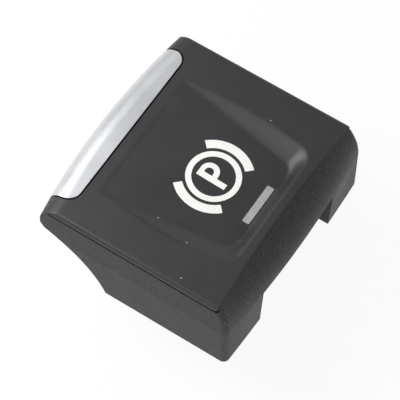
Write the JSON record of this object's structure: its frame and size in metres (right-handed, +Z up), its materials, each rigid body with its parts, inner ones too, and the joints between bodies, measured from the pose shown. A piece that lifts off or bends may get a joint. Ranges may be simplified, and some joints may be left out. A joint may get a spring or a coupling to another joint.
{
  "type": "electric parking brake switch",
  "caption": "Electric parking brake switch: a skirted rocker lever with a dished thumb pad and a silver-trimmed finger lip, on a sprung plug-in housing.",
  "frame": {"origin": "middle of the lever's footprint, on the seat of the housing", "axes": "+Z up out of the console, +Y towards the finger lip, +X to the right seen from the thumb pad with the lip away"},
  "size_m": [0.045, 0.0424, 0.0292],
  "materials": {
    "grained_black": "black plastic with a fine spark-eroded grain",
    "soft_black": "smooth soft-touch black paint",
    "satin_silver": "satin silver paint on plastic",
    "smoked_lens": "pale translucent plastic",
    "white_diffuser": "white translucent plastic",
    "housing_black": "moulded black plastic, glass filled",
    "board_green": "green solder mask on glass-filled laminate",
    "tinned_brass": "tin plate",
    "lamp_white": "moulded lamp body",
    "clear_guide": "clear moulded plastic",
    "pin_steel": "ground steel",
    "switch_black": "moulded black plastic",
    "button_red": "moulded red plastic",
    "natural_acetal": "natural white plastic",
    "spring_steel": "bare spring wire"
  },
  "bodies": {
    "housing": {"base_housing": "housing_black", "bottom_cover": "housing_black", "circuit_board": "board_green", "terminals": "tinned_brass", "sign_led": "lamp_white", "indicator_led": "lamp_white", "sign_light_guide": "clear_guide", "indicator_light_guide": "clear_guide", "pivot_pin_left": "pin_steel", "pivot_pin_right": "pin_steel", "apply_switch_left": "switch_black", "release_switch_left": "switch_black", "apply_switch_right": "switch_black", "release_switch_right": "switch_black"},
    "lever": {"lever_body": "grained_black", "top_panel": "soft_black", "trim_strip": "satin_silver", "indicator_lens": "smoked_lens", "sign_diffuser": "white_diffuser"},
    "apply_left": {"apply_plunger_left": "natural_acetal", "apply_button_left": "button_red", "apply_spring_left": "spring_steel"},
    "release_left": {"release_plunger_left": "natural_acetal", "release_button_left": "button_red", "release_spring_left": "spring_steel"},
    "apply_right": {"apply_plunger_right": "natural_acetal", "apply_button_right": "button_red", "apply_spring_right": "spring_steel"},
    "release_right": {"release_plunger_right": "natural_acetal", "release_button_right": "button_red", "release_spring_right": "spring_steel"}
  },
  "joints": [
    {"name": "lever_pivot", "type": "hinge", "parent": "housing", "child": "lever", "pos_m": [0, -0.0066, 0.017], "axis": [1, 0, 0], "range_deg": [-6, 8], "stiffness_Nm_per_rad": 0.64},
    {"name": "apply_slide_left", "type": "slide", "parent": "housing", "child": "apply_left", "axis": [0, 0, 1], "range_m": [-0.00075, 0.00057], "deforming": ["apply_spring_left"]},
    {"name": "release_slide_left", "type": "slide", "parent": "housing", "child": "release_left", "axis": [0, 0, 1], "range_m": [-0.00057, 0.00075], "deforming": ["release_spring_left"]},
    {"name": "apply_slide_right", "type": "slide", "parent": "housing", "child": "apply_right", "axis": [0, 0, 1], "range_m": [-0.00075, 0.00057], "deforming": ["apply_spring_right"]},
    {"name": "release_slide_right", "type": "slide", "parent": "housing", "child": "release_right", "axis": [0, 0, 1], "range_m": [-0.00057, 0.00075], "deforming": ["release_spring_right"]}
  ],
  "couplings": [
    {"joint": "apply_slide_left", "follows": "lever_pivot", "m_per_rad": -0.0053},
    {"joint": "release_slide_left", "follows": "lever_pivot", "m_per_rad": 0.0053},
    {"joint": "apply_slide_right", "follows": "lever_pivot", "m_per_rad": -0.0053},
    {"joint": "release_slide_right", "follows": "lever_pivot", "m_per_rad": 0.0053}
  ]
}
